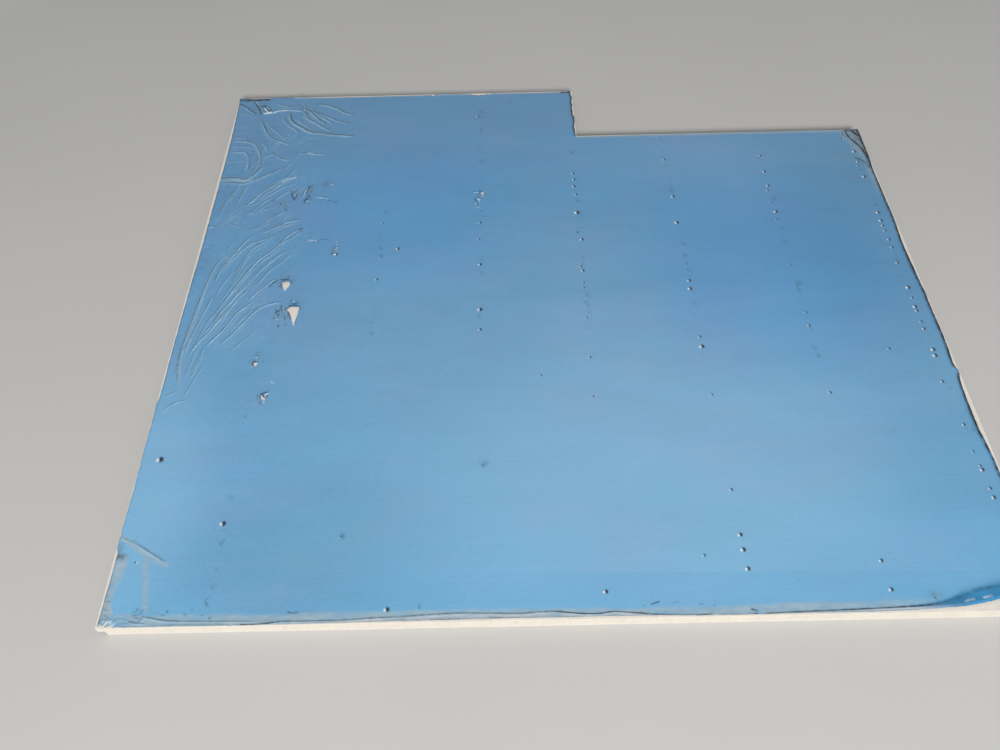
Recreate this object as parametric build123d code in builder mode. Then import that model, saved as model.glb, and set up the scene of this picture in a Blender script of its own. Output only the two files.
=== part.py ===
from build123d import *
import os

# Insulated sandwich panel: a foam core between two white skins, with its blue film still on.
# It lies flat on its lower skin. +X runs along its length, +Y to its far edge, +Z out of its face.
# The origin is the middle of the underside. All sizes are in millimetres.

# Board
panel_length = 2100
panel_width = 1884
panel_thickness = 36
skin_thickness = 2

# Corner cut out of the board, at the far right
cutout_length = 936
cutout_width = 245

# Half lap under the left edge, where the lower half of the board is cut back
lap_reach = 15
lap_height = 18

# Film on the face, and how far it stops short of each edge
film_thickness = 0.1
film_left_gap = 3
film_far_gap = 3
film_near_gap = 2
film_cutout_gap = 2
film_right_gaps = (5, 7, 6, 3, 7, 4, 2, 1, 8, 12, 6, 10)

# Near right corner, where the film has rolled back from the edge
rollback_length = 250
rollback_width = 40

# Tears that show the white skin, each a triangle that points to the near edge:
# x and y of its middle, its width, its length and its turn in degrees
film_tears = [
    (-732, -65, 38, 66, 8),
    (-769, 50, 24, 33, 0),
    (-775, -338, 8, 18, 42),
    (-812, -229, 9, 12, 0),
]

# Places that follow from the sizes above
left = -panel_length / 2
right = panel_length / 2
near = -panel_width / 2
far = panel_width / 2
cutout_left = right - cutout_length
cutout_near = far - cutout_width
core_thickness = panel_thickness - 2 * skin_thickness
top_skin_height = panel_thickness - skin_thickness

os.makedirs("parts", exist_ok=True)

# Outline of the board with its corner cut out, which the core and both skins share
with BuildSketch() as board_outline:
    Rectangle(panel_length, panel_width)
    with Locations((right, far)):
        Rectangle(cutout_length, cutout_width, align=(Align.MAX, Align.MAX), mode=Mode.SUBTRACT)


def tear_outline(width, length):
    """One tear in the film, a triangle about its own middle."""
    with BuildSketch(mode=Mode.PRIVATE) as tear:
        with BuildLine():
            Polyline(
                (-width / 2, length / 2),
                (width / 2, length / 2),
                (0, -length / 2),
                close=True,
            )
        make_face()
    return tear.sketch


# Strip of the underside that the half lap takes away
with BuildSketch() as lap_outline:
    with Locations((left, 0)):
        Rectangle(lap_reach, panel_width, align=(Align.MIN, Align.CENTER))

# Lower skin, which stops at the shoulder of the half lap
with BuildPart() as bottom_skin:
    with BuildSketch():
        add(board_outline.sketch)
        add(lap_outline.sketch, mode=Mode.SUBTRACT)
    extrude(amount=skin_thickness)
bottom_skin.part.label = "bottom_skin"

# Foam core, with the half lap cut up into it from below
with BuildPart() as core:
    with BuildSketch(Plane.XY.offset(skin_thickness)):
        add(board_outline.sketch)
    extrude(amount=core_thickness)
    with BuildSketch():
        add(lap_outline.sketch)
    extrude(amount=lap_height, mode=Mode.SUBTRACT)
core.part.label = "core"

# Upper skin, which carries on over the lip of the half lap
with BuildPart() as top_skin:
    with BuildSketch(Plane.XY.offset(top_skin_height)):
        add(board_outline.sketch)
    extrude(amount=skin_thickness)
top_skin.part.label = "top_skin"

# Right edge of the film, which wanders in and out as it was trimmed by hand
film_cutout_far = cutout_near - film_cutout_gap
film_corner_near = near + rollback_width
right_edge_step = (film_cutout_far - film_corner_near) / (len(film_right_gaps) - 1)
right_edge_points = [
    (right - gap, film_cutout_far - index * right_edge_step)
    for index, gap in enumerate(film_right_gaps)
]

# Protective film: one thin sheet on the face, with its torn holes
with BuildPart() as protective_film:
    with BuildSketch(Plane.XY.offset(panel_thickness)):
        with BuildLine():
            right_edge = Spline(*right_edge_points)
            rolled_edge = Spline(
                right_edge @ 1,
                (right - rollback_length / 2, near + rollback_width / 2),
                (right - rollback_length, near + film_near_gap),
                tangents=[(-1, 0), (-1, 0)],
            )
            Polyline(
                rolled_edge @ 1,
                (left + film_left_gap, near + film_near_gap),
                (left + film_left_gap, far - film_far_gap),
                (cutout_left - film_cutout_gap, far - film_far_gap),
                (cutout_left - film_cutout_gap, film_cutout_far),
                right_edge @ 0,
            )
        make_face()
        for tear_x, tear_y, tear_width, tear_length, tear_turn in film_tears:
            with Locations(Location((tear_x, tear_y), tear_turn)):
                add(tear_outline(tear_width, tear_length), mode=Mode.SUBTRACT)
    extrude(amount=film_thickness)
protective_film.part.label = "protective_film"

export_step(bottom_skin.part, "parts/bottom_skin.step")
export_step(core.part, "parts/core.step")
export_step(top_skin.part, "parts/top_skin.step")
export_step(protective_film.part, "parts/protective_film.step")
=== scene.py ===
import math

import bpy
import numpy as np
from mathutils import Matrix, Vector
from mathutils.geometry import delaunay_2d_cdt


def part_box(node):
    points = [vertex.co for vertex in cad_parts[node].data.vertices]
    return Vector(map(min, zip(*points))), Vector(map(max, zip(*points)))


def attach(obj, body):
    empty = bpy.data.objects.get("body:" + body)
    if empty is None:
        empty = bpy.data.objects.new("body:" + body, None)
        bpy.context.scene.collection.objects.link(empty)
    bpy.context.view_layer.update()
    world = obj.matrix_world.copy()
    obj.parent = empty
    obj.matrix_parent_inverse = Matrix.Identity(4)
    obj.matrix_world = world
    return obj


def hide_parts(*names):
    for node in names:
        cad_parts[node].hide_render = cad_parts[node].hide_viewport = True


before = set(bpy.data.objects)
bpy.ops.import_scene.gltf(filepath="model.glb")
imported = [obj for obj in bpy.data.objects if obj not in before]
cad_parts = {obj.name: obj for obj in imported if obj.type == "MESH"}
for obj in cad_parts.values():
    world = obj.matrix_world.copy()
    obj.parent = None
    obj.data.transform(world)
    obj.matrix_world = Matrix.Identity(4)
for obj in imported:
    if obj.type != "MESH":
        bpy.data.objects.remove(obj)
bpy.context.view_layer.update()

# Plan positions, sizes and heights in the film's making are millimetres, in the frame of the solids.
MM = 0.001
LEFT, RIGHT, NEAR, FAR = -1050.0, 1050.0, -942.0, 942.0
CUT_X, CUT_Y = 114.0, 697.0  # inner corner of the cut-out
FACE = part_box("top_skin")[1].z / MM
TALLEST = 10.4  # highest that the film may stand over the skin
PALE = (0.66, 0.655, 0.65, 1)  # colour of the backdrop
rng = np.random.default_rng(31)

# Line across the film near its near edge, below which a painted change of reflection makes it bluer: how it
# slopes, and where it is, in metres
REFLECTION_LINE_SLOPE = 0.0205
REFLECTION_LINE_Y = -0.834

# Rolled near right corner: where it begins and how high it swells, as (x, y) and (x, height)
ROLL_TOP = [
    (720, -927), (766, -921), (801, -914), (837, -901), (874, -890), (910, -880), (946, -872), (1050, -850),
]
ROLL_HEIGHT = [(720, 0), (790, 4), (880, 8.5), (960, 9.4), (1050, 9.6)]

# How far the film stops short of each edge, as (place along the edge, gap)
NEAR_GAPS = [
    (-1050, 7), (-1042, 4), (-1036, 7), (-1028, 2), (-1021, 6), (-1012, 1), (-1003, 3),
    (-990, 1.6), (-864, 2), (-776, 1), (-650, 1.6), (-514, 2.6), (-383, 3.4), (-252, 4.2),
    (-165, 4.9), (-77, 4.6), (10, 4.9), (97, 5.3), (200, 4.4), (271, 3), (401, 2.8), (532, 3.4),
    (662, 3.8), (750, 5.6), (795, 8.2), (839, 10), (873, 14), (908, 20), (929, 25), (1000, 33),
    (1050, 38),
]
RIGHT_GAPS = [
    (-904, 12), (-850, 9), (-760, 6), (-650, 5), (-569, 6), (-520, 9), (-480, 12.5), (-440, 12.5),
    (-400, 11.5), (-350, 9), (-329, 6.5), (-320, 5), (-306, 1), (-296, 0.5), (-288, 4), (-278, 7),
    (-250, 6.5), (-230, 5), (-200, 4), (-150, 3.5), (-100, 4), (-60, 4.5), (-30, 3), (0, 6),
    (50, 7.5), (100, 8.5), (150, 9), (200, 7), (250, 4.5), (300, 4), (350, 4.5), (440, 3.8),
    (500, 4.5), (550, 3), (600, 2), (650, 1), (694, 0.6),
]
STEP_GAPS = [(108, 3), (200, 2.5), (300, 1.5), (500, 1.5), (700, 1), (900, 0.8), (1050, 0.5)]
NOTCH_GAPS = [
    (691, 2), (712, 3), (730, 3.5), (742, 5), (752, 3.5), (760, 4.5), (765, 1.5), (782, 0.8),
    (800, 1.5), (806, 5), (826, 4), (838, 5.5), (850, 5.5), (862, 2), (867, 5), (884, 4), (895, 3),
    (905, 1.5), (912, 4), (925, 5.5), (936, 4.5),
]
FAR_GAPS = [
    (-1045, 4), (-1000, 8), (-942, 7), (-938, 1), (-850, 0.5), (-830, 2), (-750, 5),
    (-600, 5), (-450, 4), (-378, 4), (-375, 12), (-367, 11), (-364, 3), (-300, 3),
    (-240, 4), (-234, 12), (-214, 14), (-190, 12), (-182, 5), (-172, 9), (-166, 3),
    (-60, 4), (0, 5), (60, 4), (108, 3),
]
LEFT_GAPS = [
    (-925, 4), (-900, 4), (-820, 5), (-765, 5), (-755, 1.5), (-700, 1), (-560, 2), (-500, 0.5),
    (-400, 1.5), (-345, 1), (-335, 3), (-300, 4), (-200, 3.2), (-100, 3.4), (0, 4.4), (100, 5.5),
    (200, 7), (400, 8), (600, 8), (700, 7), (750, 6.5), (800, 5), (850, 3.5), (900, 1.5), (936, 1),
]

# Line along which the film's near margin is folded
NEAR_FOLD = [
    (-950, -917.5), (-922, -922.5), (-900, -926.6), (-866, -928.4), (-822, -929.7), (-778, -930.6),
    (-690, -931), (-602, -932.5), (-515, -933.1), (-449, -930.4), (-383, -928.6), (-318, -925),
    (-252, -923.3), (-164, -925.3), (-121, -926.6), (-66, -923.3), (-44, -923.3), (10, -928.9),
    (54, -930), (87, -926.6), (141, -930.9), (163, -933.5), (206, -936.9), (271, -937.6),
    (298, -936.1), (340, -938.5), (413, -937.8), (467, -935.8), (533, -934.2), (599, -932.5),
    (665, -930.2), (742, -928.2), (796, -926.9), (838, -924), (873, -918), (930, -910), (1050, -897),
]

# How pale the margin beyond that fold is, how far the haze reaches over it, how strong the haze is
# and how high the film lifts, as (x, value)
NEAR_PALE = [
    (-970, 0), (-940, 0.15), (-760, 0.2), (-640, 0.35), (-450, 0.6), (-252, 0.65), (190, 0.75),
    (240, 0.3), (400, 0.3), (440, 0.65), (760, 0.6), (830, 0.2), (870, 0), (1050, 0),
]
NEAR_HAZE = [
    (-1050, 34), (-1000, 35), (-940, 31), (-870, 31), (-780, 29), (-690, 26), (-600, 29),
    (-250, 30), (0, 28), (140, 26), (270, 25), (400, 29), (540, 30), (603, 31), (681, 33),
    (748, 36), (1050, 36),
]
NEAR_HAZE_SHARE = [
    (-1050, 0.5), (-1000, 0.6), (-960, 0.85), (-760, 0.95), (680, 0.9), (760, 0.4), (900, 0),
]
NEAR_LIFT = [(-1050, 1.2), (-980, 0.4), (-600, 0.4), (-450, 0.9), (120, 0.9), (480, 0.6), (860, 0)]
FAR_LIFT = [
    (-1050, 1.5), (-1040, 3.2), (-945, 3), (-935, 0.5), (-860, 0.5), (-840, 2.5), (-800, 0.4),
    (-380, 0.4), (-370, 2.4), (-240, 0.5), (-230, 2.8), (-190, 2.6), (-160, 0.5), (114, 0.8),
]

# How dark the film's own edge is, as (place along the edge, strength): part dirt on the edge, part painted
# shadow under the lifted edge
NEAR_RIM = [(-1050, 0.3), (-880, 0.1), (270, 0.15), (340, 0.3), (860, 0.3), (930, 0.4), (1050, 0.4)]
RIGHT_RIM = [
    (-942, 0.6), (-520, 1), (-310, 1), (-303, 0.3), (-290, 0.3), (-284, 1), (640, 1), (695, 0.8),
]
NOTCH_RIM = [(690, 0.6), (700, 0.95), (942, 1)]
LEFT_RIM = [(-942, 0.45), (-700, 0.25), (0, 0.5), (942, 0.65)]
FAR_RIM = [
    (-1050, 0.9), (-945, 0.9), (-935, 0.15), (-385, 0.15), (-376, 0.6), (-365, 0.6), (-360, 0.12),
    (-242, 0.12), (-234, 0.6), (-190, 0.6), (-180, 0.12), (114, 0.2),
]

# Creases, as (height, half width, the points that the crease runs through)
CREASES = [
    (2.0, 4, [(-1047, 913), (-1014, 884), (-982, 855)]),
    (3.0, 4, [(-1000, 928), (-986, 905), (-971, 877), (-961, 854)]),
    (3.0, 4, [(-968, 899), (-954, 898), (-937, 881), (-928, 864)]),
    (2.6, 4, [(-957, 854), (-941, 859), (-921, 864), (-901, 871), (-873, 873), (-845, 869), (-817, 865)]),
    (1.2, 4, [(-921, 914), (-890, 896), (-862, 889), (-834, 888)]),
    (2.2, 5, [(-861, 856), (-856, 823), (-839, 795), (-812, 773), (-782, 750), (-748, 744), (-706, 734),
        (-665, 727), (-631, 724)]),
    (1.0, 4, [(-836, 822), (-811, 794), (-785, 777)]),
    (1.2, 4, [(-879, 813), (-858, 785), (-835, 768), (-819, 746)]),
    (1.8, 4, [(-817, 838), (-793, 815), (-763, 792), (-737, 770), (-708, 753)]),
    (2.6, 4, [(-821, 871), (-808, 876), (-792, 859), (-775, 836), (-756, 814), (-733, 791)]),
    (1.5, 4, [(-796, 865), (-767, 852), (-730, 829), (-693, 806), (-651, 794)]),
    (2.0, 4, [(-773, 903), (-736, 890), (-700, 872), (-670, 849), (-641, 837)]),
    (1.6, 4, [(-955, 815), (-939, 777), (-924, 745), (-899, 717), (-870, 701), (-841, 684)]),
    (1.0, 4, [(-885, 835), (-871, 807), (-848, 785)]),
    (2.0, 3, [(-840, 911), (-823, 888), (-817, 865)]),
    (1.5, 4, [(-1039, 709), (-1013, 711), (-985, 705), (-963, 694), (-946, 673), (-935, 647),
        (-927, 616)]),
    (1.0, 4, [(-1036, 728), (-1008, 727), (-987, 721)]),
    (1.2, 5, [(-1033, 655), (-1003, 654), (-982, 648), (-968, 623), (-962, 588), (-963, 553)]),
    (0.8, 4, [(-1035, 683), (-1001, 682), (-967, 678)]),
    (1.0, 5, [(-977, 658), (-957, 658), (-939, 627), (-938, 582), (-946, 548)]),
    (1.2, 4, [(-925, 621), (-906, 631), (-891, 640), (-877, 630), (-858, 614), (-834, 608)]),
    (0.8, 4, [(-937, 698), (-921, 682), (-910, 656)]),
    (0.8, 4, [(-899, 671), (-885, 645), (-878, 620)]),
    (2.8, 5, [(-1042, 522), (-1013, 524), (-980, 520), (-960, 515), (-946, 529), (-930, 552),
        (-918, 576)]),
    (1.6, 5, [(-1035, 503), (-1003, 502), (-964, 498), (-940, 509), (-916, 523), (-893, 539),
        (-875, 550), (-858, 569)]),
    (1.0, 3, [(-1024, 780), (-999, 790)]),
    (0.6, 4, [(-1041, 605), (-1002, 609), (-976, 613)]),
    (0.5, 4, [(-1033, 754), (-987, 757)]),
    (0.7, 4, [(-1035, 862), (-1002, 850), (-972, 838)]),
    (2.2, 4, [(-949, 393), (-929, 406), (-914, 429), (-896, 456), (-874, 479), (-852, 501), (-832, 517),
        (-811, 529)]),
    (1.0, 4, [(-977, 501), (-982, 473), (-990, 445), (-997, 413)]),
    (1.2, 4, [(-950, 490), (-958, 463), (-965, 430), (-970, 403)]),
    (1.2, 4, [(-946, 393), (-922, 397), (-899, 414), (-880, 432), (-858, 455), (-832, 477), (-796, 495)]),
    (1.2, 4, [(-929, 348), (-914, 369), (-899, 392), (-880, 414), (-861, 431)]),
    (1.2, 4, [(-903, 360), (-888, 382), (-872, 400), (-850, 422), (-828, 444), (-805, 462)]),
    (1.0, 4, [(-894, 360), (-875, 377), (-851, 385), (-832, 403), (-811, 416)]),
    (1.0, 4, [(-856, 332), (-833, 349), (-808, 371)]),
    (0.8, 4, [(-983, 319), (-956, 305), (-927, 297)]),
    (0.8, 3, [(-979, 367), (-984, 341), (-984, 323)]),
    (1.2, 4, [(-1042, 303), (-1014, 302)]),
    (1.0, 4, [(-1038, 222), (-1010, 219)]),
    (2.2, 4, [(-871, 272), (-848, 284), (-826, 296), (-804, 313), (-780, 321), (-759, 329)]),
    (2.2, 4, [(-979, 71), (-974, 102), (-965, 133), (-952, 161), (-936, 192), (-926, 218), (-912, 243),
        (-894, 264)]),
    (1.8, 4, [(-964, 113), (-952, 145), (-934, 175), (-917, 201), (-897, 224), (-875, 238), (-852, 245),
        (-839, 262)]),
    (2.4, 4, [(-969, -73), (-953, -40), (-937, -3), (-923, 30), (-909, 65), (-896, 96), (-881, 127),
        (-865, 155), (-845, 179), (-824, 203), (-807, 231), (-790, 256), (-768, 277), (-745, 289)]),
    (2.2, 4, [(-955, -77), (-937, -37), (-919, -8), (-902, 26), (-884, 56), (-866, 91), (-848, 122),
        (-828, 149), (-808, 173), (-787, 193)]),
    (1.8, 4, [(-978, -144), (-961, -116), (-945, -84), (-928, -55), (-909, -15), (-894, 14)]),
    (2.0, 4, [(-999, -188), (-982, -150), (-963, -119), (-949, -91), (-935, -59), (-921, -30)]),
    (1.8, 5, [(-1020, -255), (-1023, -187), (-1019, -128), (-1014, -75), (-1009, -16), (-1003, 44),
        (-996, 99), (-985, 146), (-974, 170)]),
    (1.6, 4, [(-1012, -201), (-1009, -153), (-1001, -108), (-993, -68), (-984, -28), (-975, 17)]),
    (1.2, 5, [(-1006, -294), (-1016, -248), (-1019, -194), (-1015, -150)]),
    (2.0, 4, [(-960, -165), (-943, -139), (-925, -113), (-909, -78), (-895, -49), (-876, -27),
        (-862, -9)]),
    (1.8, 4, [(-922, -159), (-902, -135), (-885, -109), (-867, -79), (-850, -50), (-830, -29),
        (-804, -15), (-771, -8)]),
    (0.8, 4, [(-893, -187), (-866, -154), (-838, -123)]),
    (1.2, 4, [(-980, -252), (-972, -212), (-962, -168)]),
    (1.0, 4, [(-985, -330), (-974, -295), (-963, -256), (-950, -226)]),
    (1.2, 3.5, [(-1030, -376), (-1018, -360), (-1000, -348), (-978, -340)]),
    (0.9, 3.5, [(-1033, -325), (-1021, -321), (-1008, -310)]),
    (1.8, 4, [(-869, 2), (-855, 21), (-839, 43), (-824, 58), (-811, 73), (-795, 81)]),
    (0.8, 4, [(-955, 232), (-962, 199), (-968, 166)]),
    (1.0, 4, [(-905, 112), (-894, 135), (-880, 155)]),
    (1.2, 4, [(-967, 5), (-960, 43), (-946, 81), (-932, 116)]),
    (1.0, 4, [(-944, 4), (-931, 46), (-915, 84), (-903, 116)]),
    (1.4, 4, [(-802, 637), (-776, 641), (-749, 635), (-716, 634)]),
    (1.0, 4, [(-829, 525), (-816, 546), (-803, 567)]),
    (0.9, 4, [(-1045, -727), (-1024, -737), (-1000, -749), (-976, -763), (-955, -776), (-931, -790)]),
    (1.2, 4, [(-1000, 56), (-1002, 34), (-1003, 3), (-1006, -44), (-1010, -97), (-1011, -130),
        (-1013, -152)]),
    (1.0, 4, [(-1015, -202), (-1015, -232), (-1009, -266), (-999, -294)]),
    (1.2, 4, [(-959, -46), (-970, -79), (-976, -102), (-983, -127), (-990, -155), (-993, -177)]),
    (1.6, 4, [(-899, 41), (-913, 4), (-933, -33), (-942, -53), (-950, -76), (-961, -99), (-972, -121)]),
    (1.4, 4, [(-880, 119), (-888, 101), (-894, 87), (-903, 66), (-909, 52), (-916, 31)]),
    (1.5, 4, [(-878, 44), (-886, 27), (-897, 11), (-906, -10), (-915, -30), (-924, -54), (-930, -77)]),
    (1.2, 4, [(-852, -34), (-859, -45), (-871, -62), (-879, -73), (-891, -89)]),
    (1.0, 4, [(-982, -171), (-984, -187), (-988, -218), (-992, -245), (-992, -266)]),
    (1.0, 4, [(-960, -185), (-965, -206), (-970, -231), (-974, -248), (-979, -272)]),
    (1.4, 4, [(-803, 522), (-825, 510), (-843, 494), (-860, 472), (-881, 452), (-897, 431), (-907, 419)]),
    (0.9, 4, [(-987, 468), (-999, 436), (-1008, 404), (-1014, 375), (-1017, 350)]),
    (1.0, 4, [(-940, 355), (-924, 362), (-909, 358), (-897, 369), (-881, 377)]),
    (0.8, 4, [(-1002, 328), (-977, 343), (-961, 351)]),
    (1.0, 4, [(-898, 285), (-885, 293), (-865, 308), (-852, 316)]),
    (1.6, 4, [(-825, 268), (-837, 252), (-853, 234), (-873, 219), (-887, 205), (-900, 182), (-918, 127),
        (-924, 102)]),
    (1.3, 4, [(-857, 222), (-871, 207), (-885, 193), (-894, 178), (-905, 149), (-911, 124), (-928, 67)]),
    (1.2, 4, [(-873, 133), (-884, 115), (-893, 94), (-902, 69)]),
    (1.3, 4, [(-770, 182), (-781, 167), (-792, 149), (-811, 131), (-825, 114), (-835, 96), (-854, 61)]),
    (1.2, 4, [(-806, 209), (-820, 191), (-831, 176), (-848, 158), (-860, 136)]),
    (1.5, 4, [(-748, 273), (-764, 262), (-778, 247), (-793, 236), (-809, 219)]),
    (1.6, 4, [(-816, 861), (-803, 835), (-781, 809), (-764, 794)]),
    (1.6, 4, [(-791, 864), (-774, 849), (-752, 828), (-732, 813), (-705, 790)]),
    (0.8, 4, [(-935, 815), (-921, 785), (-899, 760), (-877, 735), (-849, 706)]),
    (0.9, 4, [(-924, 680), (-930, 644), (-923, 616), (-922, 589)]),
    (0.8, 4, [(-886, 536), (-869, 551), (-848, 572)]),
    (0.8, 4, [(-803, 647), (-818, 607), (-836, 576), (-846, 554)]),
    (0.9, 4, [(-956, 573), (-939, 607), (-925, 621)]),
    (1.0, 4, [(-852, 350), (-864, 323), (-885, 300), (-907, 286)]),
    (0.8, 4, [(-824, 816), (-804, 788), (-777, 766)]),
    # Near edge, where each of the fold's lines lies 2 mm further in than its crest
    (1.2, 2.6, [(-950, -919), (-922, -924), (-900, -928), (-866, -930), (-822, -931), (-778, -932),
        (-690, -933)]),
    (1.4, 2.6, [(-700, -940), (-667, -938), (-646, -935), (-580, -935), (-515, -935), (-449, -932),
        (-383, -930)]),
    (1.5, 2.8, [(-383, -930), (-318, -927), (-252, -925), (-164, -927), (-121, -928), (-66, -925),
        (-44, -925)]),
    (1.7, 2.6, [(-44, -925), (10, -931), (54, -932), (87, -928), (141, -933), (163, -935), (206, -938)]),
    (1.7, 2.6, [(413, -939), (467, -937), (533, -936), (599, -934), (665, -932), (742, -930),
        (796, -929)]),
    (1.4, 3, [(-952, -903), (-955, -913), (-948, -922), (-960, -931)]),
    (1.2, 3, [(-985, -926), (-965, -932), (-940, -934)]),
    # Folds of the far right corner
    (3.4, 6, [(1008, 695), (1009, 672), (1021, 639), (1034, 610), (1041, 568), (1043, 520)]),
    (2.6, 5, [(1031, 694), (1037, 675), (1044, 660), (1047, 640)]),
    (1.4, 5, [(1000, 696), (996, 674), (985, 642)]),
    (1.1, 4, [(1002, 562), (1018, 550), (1034, 532), (1040, 507)]),
    # Torn and crumpled spots
    (3.4, 3, [(-806, 460), (-799, 443), (-795, 434)]),
    (3.0, 3, [(-786, 464), (-792, 447), (-795, 434)]),
    (3.6, 3, [(-745, 482), (-752, 464), (-757, 442)]),
    (3.4, 3, [(-755, 472), (-764, 449), (-768, 426)]),
    (2.6, 3, [(-727, 430), (-705, 424), (-684, 420)]),
    (2.4, 3, [(-830, 407), (-820, 400), (-812, 404), (-806, 394)]),
    (3.0, 3, [(-640, 208), (-637, 192), (-640, 174)]),
    (3.2, 3, [(-232, 430), (-214, 433), (-196, 426)]),
    (3.0, 3, [(-222, 399), (-212, 406), (-209, 392)]),
    (2.6, 3, [(-788, -20), (-782, -38), (-784, -66), (-776, -82)]),
    (2.6, 3, [(-770, -18), (-764, -44), (-752, -68)]),
    (2.4, 3, [(-110, 901), (-102, 886), (-98, 874)]),
]

# Torn holes that show the white skin
TEARS = [
    [(-756, -42), (-754, -40), (-750, -38), (-747, -33), (-745, -30), (-737, -29), (-728, -29),
        (-720, -30), (-718, -34), (-720, -43), (-721, -54), (-723, -67), (-725, -79), (-726, -92),
        (-727, -97), (-730, -88), (-734, -76), (-739, -63), (-744, -52), (-750, -46)],
    [(-781, 65), (-775, 66), (-767, 68), (-761, 67), (-757, 60), (-760, 51), (-764, 43), (-767, 35),
        (-770, 34), (-774, 43), (-778, 53)],
    [(-817, -227), (-815, -224), (-811, -223), (-808, -223), (-807, -228), (-810, -231), (-811, -235),
        (-813, -235), (-815, -231)],
    [(-781, -335), (-780, -330), (-778, -331), (-775, -336), (-772, -339), (-768, -344), (-769, -345),
        (-773, -343), (-775, -346), (-777, -344), (-780, -340)],
]

# Blisters, as (x, y, size)
BLISTERS = [
    (-815, -696, 1.5), (-817, -892, 0.45), (-506, 301, 0.7), (-503, 162, 0.5), (-508, 70, 0.9),
    (-533, -735, 0.5), (-216, 813, 1.0), (-197, 426, 1.2), (-219, 381, 0.9), (-209, 296, 0.9),
    (-212, 223, 0.7), (-209, 121, 1.2), (-209, -52, 1.5), (-209, -124, 0.9), (-204, -554, 0.5),
    (89, 510, 1.0), (90, 482, 1.0), (88, 449, 1.1), (92, 412, 0.9), (89, 330, 1.8), (83, 244, 0.5),
    (96, 214, 1.2), (85, 104, 0.8), (90, 88, 1.0), (89, 41, 0.6), (88, 22, 0.6), (88, -90, 0.6),
    (86, -229, 0.7), (84, -356, 0.6), (70, -881, 1.1), (388, 568, 0.9), (393, 393, 1.2),
    (389, 277, 1.4), (391, 40, 1.1), (389, 9, 1.3), (390, -166, 0.8), (390, -200, 1.5),
    (391, -358, 0.6), (392, -634, 0.8), (392, -751, 1.2), (392, -788, 1.3), (394, -834, 1.2),
    (700, 577, 1.0), (698, 499, 1.1), (697, 433, 1.1), (692, 410, 0.7), (690, 356, 0.6),
    (697, 315, 1.4), (693, 280, 0.7), (692, 93, 0.6), (691, 12, 0.6), (696, -89, 0.7),
    (694, -135, 0.9), (696, -359, 0.8), (697, -821, 1.0), (700, -889, 1.1), (995, 663, 0.9),
    (1008, 587, 1.3), (1007, 537, 1.0), (1002, 518, 0.7), (1007, 465, 1.4), (1005, 301, 1.3),
    (1004, 266, 1.3), (1004, 245, 1.0), (1004, 223, 0.9), (1005, 186, 1.0), (1005, 153, 0.9),
    (1002, 92, 1.0), (1004, -5, 1.5), (1004, -43, 0.8), (1002, -76, 1.3), (1003, -90, 1.0),
    (1002, -130, 0.8), (1002, -155, 1.0), (1004, -227, 1.4), (1003, -247, 1.4), (994, -332, 0.9),
    (1005, -465, 0.9), (1001, -543, 0.7), (1004, -583, 0.7), (1005, -594, 1.2), (1006, -645, 0.8),
    (1006, -669, 1.1), (-1004, -518, 1.9), (-454, 193, 1.1), (888, -221, 0.8), (-344, -909, 0.4),
    (301, -800, 0.7), (-637, 174, 1.2), (-48, -285, 0.6), (-415, -912, 1.3),
]

# Rows of small blisters, each with its painted shadow and highlight, as (x, lowest y, highest y)
DOT_ROWS = [
    (-813, -900, -420), (-510, -200, 320), (-209, -150, 840), (90, -380, 600),
    (391, -400, 670), (694, -400, 670), (1004, -700, 680),
]

# Dirty spots, and painted shadow in the far right corner, as (x, y, half size along x, half size along y,
# strength)
STAINS_AND_SHADE = [
    (-793, 439, 10, 21, 0.4), (-744, 467, 7, 19, 0.5), (-751, 428, 8, 28, 0.35), (-696, 484, 14, 17, 0.5),
    (-812, 377, 6, 14, 0.4), (-753, 280, 6, 11, 0.5), (-645, 191, 9, 21, 0.5), (-208, 415, 19, 23, 0.25),
    (-964, 876, 21, 23, 0.35), (-770, -47, 11, 15, 0.35), (-750, -61, 8, 18, 0.35),
    (-770, 88, 18, 16, 0.4), (-753, 72, 9, 12, 0.35), (-786, 57, 7, 16, 0.3), (-737, -9, 11, 11, 0.35),
    (-812, -213, 11, 17, 0.25), (-777, -338, 13, 16, 0.3), (-803, -339, 8, 5, 0.25),
    (-764, -304, 5, 10, 0.25), (793, -904, 16, 12, 0.5), (-1037, -775, 13, 9, 1.5),
    (-1042, -756, 8, 16, 0.6), (-947, 876, 14, 12, 0.3), (-802, 859, 14, 14, 0.3),
    (-822, 396, 14, 10, 0.3),
    (-978, -760, 5, 5, 0.3), (-935, -903, 30, 12, 0.2), (880, -894, 5, 5, 0.4),
    # Painted shadow in the far right corner
    (1034, 655, 20, 55, 1.0), (1012, 672, 18, 30, 0.75), (1042, 590, 10, 50, 0.7),
    (-924, 606, 7, 12, 0.4), (-1042, -880, 8, 50, 0.3),
]
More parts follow.
